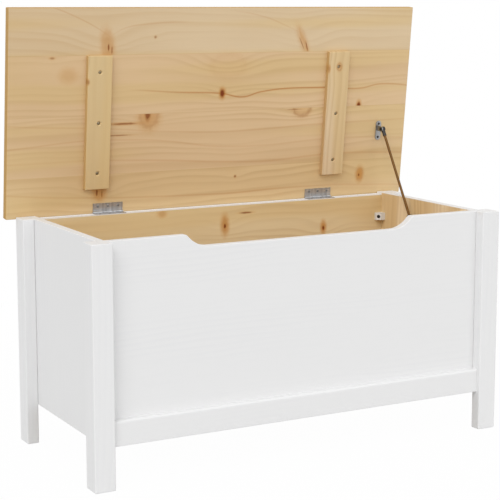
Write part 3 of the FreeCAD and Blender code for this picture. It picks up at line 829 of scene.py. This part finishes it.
class STORAGEBOX_OT_finish_fittings(BoxOperator):
    """Give the hinges, the stay and the corner blocks their metal and plastic"""

    bl_idname = "storage_box.finish_fittings"
    bl_label = "Finish Fittings"

    def execute(self, context):
        fitting = context.scene.storage_box_fitting
        plated = metal_finish("hinge_plate", fitting.plated, UP, RIGHT, roughness=0.42, banded=0.6)
        put_on(plated, *both("hinge_{}_body_leaf"), *both("hinge_{}_lid_leaf"), *both("hinge_{}_pin"))
        bright = metal_finish("stay_plate", fitting.bright, UP, BACK, roughness=0.35)
        put_on(bright, "stay_guide_plate", "stay_guide", "stay_lid_bracket", "stay_stop_collar")
        put_on(metal_finish("stay_pivot", fitting.dark, RIGHT, UP, roughness=0.4), "stay_pivot_pin")
        bronze = metal_finish(
            "stay_bronze", fitting.bronze, UP, RIGHT,
            roughness=0.45, metallic=0.3, banded=0.2, gloss=0.15)
        put_on(bronze, "stay_rod")
        black = plastic_finish("rod_end_plastic", fitting.black_plastic, roughness=0.45)
        put_on(black, "stay_rod_end")
        white = plastic_finish("corner_block_plastic", fitting.white_plastic, roughness=0.4)
        put_on(white, "corner_blocks")
        return {"FINISHED"}


# A screw head's grid, from -1 to 1 each way: its cells, and the arms of its cross recess, as half their
# length and half their width.
HEAD_CELLS = 5
RECESS_REACH = 0.6
RECESS_HALF_WIDTH = 0.2
# A head's dome above its seat, its skirt below that and the floor of its recess, in head radii.
HEAD_DOME = 0.3
HEAD_SKIRT = 0.3
RECESS_FLOOR = 0.04
# How far a seat stands off the metal under it, how far each recess is turned from the last one, and how
# rough the heads are.
SEAT_LIFT = 0.1 * MM
GOLDEN_TURN = math.radians(137.5)
SCREW_ROUGHNESS = 0.35


def in_recess(face):
    """Whether a cell of the head's grid belongs to the cross recess."""
    centre = face.calc_center_median()
    near, far = sorted((abs(centre.x), abs(centre.y)))
    return near < RECESS_HALF_WIDTH and far < RECESS_REACH


def round_off(vertex):
    """Moves a vertex of the head's square grid onto a domed disc."""
    x, y = vertex.co.x, vertex.co.y
    vertex.co.x = x * math.sqrt(1 - y * y / 2)
    vertex.co.y = y * math.sqrt(1 - x * x / 2)
    vertex.co.z = HEAD_DOME * (1 - vertex.co.x ** 2 - vertex.co.y ** 2)


def new_vertices(extruded):
    """The vertices that an extrusion made."""
    return [item for item in extruded["geom"] if isinstance(item, bmesh.types.BMVert)]


def add_screw_head(mesh, centre, outward, radius, turn):
    """Adds a domed cross-recess head to a mesh, with the centre of its seat at a point."""
    grid = bmesh.ops.create_grid(mesh, x_segments=HEAD_CELLS, y_segments=HEAD_CELLS, size=1.0)
    vertices = list(grid["verts"])
    faces = list(dict.fromkeys(face for vertex in vertices for face in vertex.link_faces))
    cross = [face for face in faces if in_recess(face)]
    rim = [edge for face in faces for edge in face.edges if edge.is_boundary]
    for vertex in vertices:
        round_off(vertex)
    bottom = new_vertices(bmesh.ops.extrude_face_region(mesh, geom=cross))
    for vertex in bottom:
        vertex.co.z = RECESS_FLOOR
    bmesh.ops.delete(mesh, geom=cross, context="FACES_ONLY")
    foot = new_vertices(bmesh.ops.extrude_edge_only(mesh, edges=rim))
    bmesh.ops.translate(mesh, verts=foot, vec=(0, 0, -HEAD_SKIRT))
    place = Matrix.Translation(centre) @ outward.to_track_quat("Z", "Y").to_matrix().to_4x4()
    place = place @ Matrix.Rotation(turn, 4, "Z") @ Matrix.Scale(radius, 4)
    bmesh.ops.transform(mesh, matrix=place, verts=vertices + bottom + foot)


def add_mesh(context, name, mesh, material):
    """Makes an object of a finished bmesh."""
    data = bpy.data.meshes.new(name)
    mesh.to_mesh(data)
    mesh.free()
    data.materials.append(material)
    piece = bpy.data.objects.new(name, data)
    context.scene.collection.objects.link(piece)
    return piece


def add_screws(context, name, body, places, radius, colour):
    """Makes one object of like screws, each with its own turn of the driver."""
    mesh = bmesh.new()
    for number, (centre, outward) in enumerate(places):
        add_screw_head(mesh, centre, outward, radius, number * GOLDEN_TURN)
    bmesh.ops.recalc_face_normals(mesh, faces=mesh.faces)
    finish = metal_finish(name, colour, RIGHT, UP, SCREW_ROUGHNESS)
    screws = add_mesh(context, name, mesh, finish)
    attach(screws, body)


class STORAGEBOX_OT_add_batten_screws(BoxOperator):
    """Add the sunk screws of the two battens"""

    bl_idname = "storage_box.add_batten_screws"
    bl_label = "Add Batten Screws"

    # There are three screws in each batten, with the outer ones this far from its ends.
    end_distance = 35 * MM

    def execute(self, context):
        fitting = context.scene.storage_box_fitting
        places = []
        for node in both("lid_batten_{}"):
            low, high = span(node, LID_UP)
            face = span(node, LID_FRONT)[1] - fitting.batten_sink
            for height in (low + self.end_distance, (low + high) / 2, high - self.end_distance):
                centre = RIGHT * middle(node, RIGHT) + LID_UP * height + LID_FRONT * face
                places.append((centre, LID_FRONT))
        add_screws(context, "batten_screws", "lid", places, fitting.batten_head, fitting.brass)
        return {"FINISHED"}


class STORAGEBOX_OT_add_hinge_screws(BoxOperator):
    """Add the screws of both leaves of both hinges"""

    bl_idname = "storage_box.add_hinge_screws"
    bl_label = "Add Hinge Screws"

    # The screws' distance from each other, and from the hinge axis.
    pitch = 24 * MM
    from_axis = 13.5 * MM

    def execute(self, context):
        fitting = context.scene.storage_box_fitting
        lid_face = span("lid_panel", LID_FRONT)[1] + fitting.leaf_thickness + SEAT_LIFT
        lid_row = LID_UP * (HINGE_AXIS.dot(LID_UP) + self.from_axis) + LID_FRONT * lid_face
        body_face = span("back_panel", UP)[1] + fitting.leaf_thickness + SEAT_LIFT
        body_row = BACK * (HINGE_AXIS.y - self.from_axis) + UP * body_face
        on_lid = []
        on_body = []
        for side in SIDES:
            lid_middle = middle(f"hinge_{side}_lid_leaf", RIGHT)
            body_middle = middle(f"hinge_{side}_body_leaf", RIGHT)
            for number in range(fitting.hinge_screws):
                offset = (number - (fitting.hinge_screws - 1) / 2) * self.pitch
                on_lid.append((RIGHT * (lid_middle + offset) + lid_row, LID_FRONT))
                on_body.append((RIGHT * (body_middle + offset) + body_row, UP))
        add_screws(context, "hinge_lid_screws", "lid", on_lid, fitting.hinge_head, fitting.screw)
        add_screws(context, "hinge_body_screws", "base", on_body, fitting.hinge_head, fitting.screw)
        return {"FINISHED"}


class STORAGEBOX_OT_add_stay_screws(BoxOperator):
    """Add the screws of the stay's bracket and of its guide plate"""

    bl_idname = "storage_box.add_stay_screws"
    bl_label = "Add Stay Screws"

    # How far the screws are from the ends of the bracket, and of the guide's plate.
    bracket_end = 7 * MM
    plate_end = 8 * MM

    def execute(self, context):
        fitting = context.scene.storage_box_fitting
        bracket = "stay_lid_bracket"
        face = span("lid_panel", LID_FRONT)[1] + fitting.bracket_thickness + SEAT_LIFT
        low, high = span(bracket, LID_UP)
        across = span(bracket, RIGHT)[0] + self.bracket_end
        places = [
            (RIGHT * across + LID_UP * height + LID_FRONT * face, LID_FRONT)
            for height in (low + self.bracket_end, high - self.bracket_end)
        ]
        add_screws(context, "stay_bracket_screws", "lid", places, fitting.stay_head, fitting.dark)

        plate = "stay_guide_plate"
        front, back = span(plate, BACK)
        plate_left, plate_right = span(plate, RIGHT)
        face = span("side_panel_right", RIGHT)[0] - (plate_right - plate_left) - SEAT_LIFT
        places = [
            (Vector((face, y, middle(plate, UP))), -RIGHT)
            for y in (front + self.plate_end, back - self.plate_end)
        ]
        add_screws(context, "guide_plate_screws", "base", places, fitting.stay_head, fitting.dark)
        return {"FINISHED"}


class STORAGEBOX_OT_add_block_screws(BoxOperator):
    """Add the screw in the slanted face of each corner block"""

    bl_idname = "storage_box.add_block_screws"
    bl_label = "Add Corner Block Screws"

    # A block's size along the box's length, depth and height, and the chamfer on its free corner.
    width = 20 * MM
    depth = 15 * MM
    height = 17 * MM
    chamfer = 8.5 * MM

    def execute(self, context):
        fitting = context.scene.storage_box_fitting
        low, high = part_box("corner_blocks")
        across = self.width - self.chamfer / 2
        deep = self.depth - self.chamfer / 2
        places = []
        for block_z in (low.z + self.height / 2, high.z - self.height / 2):
            for outer_x, inward_x in ((low.x, 1), (high.x, -1)):
                for outer_y, inward_y in ((low.y, 1), (high.y, -1)):
                    centre = Vector((outer_x + inward_x * across, outer_y + inward_y * deep, block_z))
                    places.append((centre, Vector((inward_x, inward_y, 0)).normalized()))
        # The dark steel of these heads is partly painted shade, standing in for the shade of the screw
        # holes.
        add_screws(context, "corner_block_screws", "base", places, fitting.block_head, fitting.dark)
        return {"FINISHED"}


def white_light(finish):
    """Plain white, for a world or a material."""
    kind = "ShaderNodeBackground" if isinstance(finish.owner, bpy.types.World) else "ShaderNodeEmission"
    return finish.node(kind, {}, {"Color": (1, 1, 1), "Strength": 1.0}).outputs[0]


def white_to_camera(finish, light, shown):
    """White to the camera and in reflections, and a plain light or surface to everything else."""
    path = finish.node("ShaderNodeLightPath")
    seen = finish.math("MAXIMUM", path.outputs["Is Camera Ray"], path.outputs["Is Glossy Ray"])
    seen = finish.math("MAXIMUM", seen, path.outputs["Is Transmission Ray"])
    mixed = finish.node("ShaderNodeMixShader", {}, {0: seen * shown, 1: light, 2: white_light(finish)})
    return mixed.outputs[0]


def add_sun(context, name, source, strength, angle):
    """Even light from a direction; the angle is how wide its source looks."""
    lamp = bpy.data.lights.new(name, "SUN")
    lamp.energy = strength
    lamp.angle = angle
    holder = bpy.data.objects.new(name, lamp)
    holder.location = source
    holder.rotation_euler = (-Vector(source)).to_track_quat("-Z", "Y").to_euler()
    context.scene.collection.objects.link(holder)


class STORAGEBOX_OT_add_stage(BoxOperator):
    """Add the pale floor, the soft light and the camera"""

    bl_idname = "storage_box.add_stage"
    bl_label = "Add Stage"

    # Half the floor's width and its cells each way, how much paler its grain gets, the bumps of that
    # grain in a metre, and where the shadow starts to fade and where it is gone.
    floor_half = 12.0
    floor_cells = 8
    grain_tone = 1.03
    grain_bumps = 40
    shadow_fade = (0.6, 1.6)

    def floor_finish(self, stage):
        """A pale floor that shows a little of the box's shadow, and is white further off."""
        finish = new_finish("studio_floor")
        across = finish.distance(RIGHT)
        deep = finish.distance(BACK)
        away = finish.math("SQRT", across * across + deep * deep)
        grain = finish.noise(across * self.grain_bumps, deep * self.grain_bumps, 0.0)
        tone = stage.floor_tone
        shade = finish.mix(grain, [tone] * 3, [tone * self.grain_tone] * 3)
        matt = finish.node("ShaderNodeBsdfDiffuse", {}, {"Color": shade}).outputs[0]
        shown = 1 - (1 - finish.smooth(away, *self.shadow_fade)) * stage.shadow
        surface = white_to_camera(finish, matt, shown)
        finish.node("ShaderNodeOutputMaterial", {}, {"Surface": surface})
        return finish.owner

    def add_floor(self, context, stage):
        cells = self.floor_cells
        mesh = bmesh.new()
        bmesh.ops.create_grid(mesh, x_segments=cells, y_segments=cells, size=self.floor_half)
        bmesh.ops.translate(mesh, verts=mesh.verts, vec=(0, 0, CAD_BOX[0][2]))
        floor = add_mesh(context, "studio_floor", mesh, self.floor_finish(stage))

    def add_world(self, context, stage):
        world = bpy.data.worlds.new("studio")
        context.scene.world = world
        finish = Finish(world)
        sockets = {"Color": (1, 1, 1), "Strength": stage.world_light}
        light = finish.node("ShaderNodeBackground", {}, sockets).outputs[0]
        surface = white_to_camera(finish, light, 1.0)
        finish.node("ShaderNodeOutputWorld", {}, {"Surface": surface})

    def add_camera(self, context, stage):
        lens = bpy.data.cameras.new("camera")
        lens.lens = stage.lens
        lens.shift_y = stage.shift
        camera = bpy.data.objects.new("camera", lens)
        camera.location = stage.camera_place
        camera.rotation_euler = (math.pi / 2 - stage.camera_tilt, 0, -stage.camera_turn)
        context.scene.collection.objects.link(camera)
        context.scene.camera = camera

    def execute(self, context):
        stage = context.scene.storage_box_stage
        self.add_floor(context, stage)
        self.add_world(context, stage)
        add_sun(context, "key_light", stage.key_place, stage.key_strength, stage.lamp_angle)
        add_sun(context, "fill_light", stage.fill_place, stage.fill_strength, stage.lamp_angle)
        self.add_camera(context, stage)
        context.scene.view_settings.view_transform = "Standard"
        return {"FINISHED"}


OPERATORS = (
    STORAGEBOX_OT_paint_carcass,
    STORAGEBOX_OT_finish_lid,
    STORAGEBOX_OT_finish_floor,
    STORAGEBOX_OT_finish_fittings,
    STORAGEBOX_OT_add_batten_screws,
    STORAGEBOX_OT_add_hinge_screws,
    STORAGEBOX_OT_add_stay_screws,
    STORAGEBOX_OT_add_block_screws,
    STORAGEBOX_OT_add_stage,
)


class STORAGEBOX_PT_panel(bpy.types.Panel):
    """Lists the steps that finish the storage box"""

    bl_label = "Storage Box"
    bl_idname = "STORAGEBOX_PT_panel"
    bl_space_type = "VIEW_3D"
    bl_region_type = "UI"
    bl_category = "Storage Box"

    def draw(self, context):
        for operator in OPERATORS:
            self.layout.operator(operator.bl_idname)


SETTINGS = {
    "storage_box_paint": PaintSettings,
    "storage_box_pine": PineSettings,
    "storage_box_fitting": FittingSettings,
    "storage_box_stage": StageSettings,
}
CLASSES = (*SETTINGS.values(), *OPERATORS, STORAGEBOX_PT_panel)


def register():
    for cls in CLASSES:
        bpy.utils.register_class(cls)
    for name, group in SETTINGS.items():
        setattr(bpy.types.Scene, name, PointerProperty(type=group))


def unregister():
    for name in SETTINGS:
        delattr(bpy.types.Scene, name)
    for cls in reversed(CLASSES):
        bpy.utils.unregister_class(cls)


def main():
    register()
    bpy.ops.storage_box.paint_carcass()
    bpy.ops.storage_box.finish_lid()
    bpy.ops.storage_box.finish_floor()
    bpy.ops.storage_box.finish_fittings()
    bpy.ops.storage_box.add_batten_screws()
    bpy.ops.storage_box.add_hinge_screws()
    bpy.ops.storage_box.add_stay_screws()
    bpy.ops.storage_box.add_block_screws()
    bpy.ops.storage_box.add_stage()


if __name__ == "__main__":
    main()
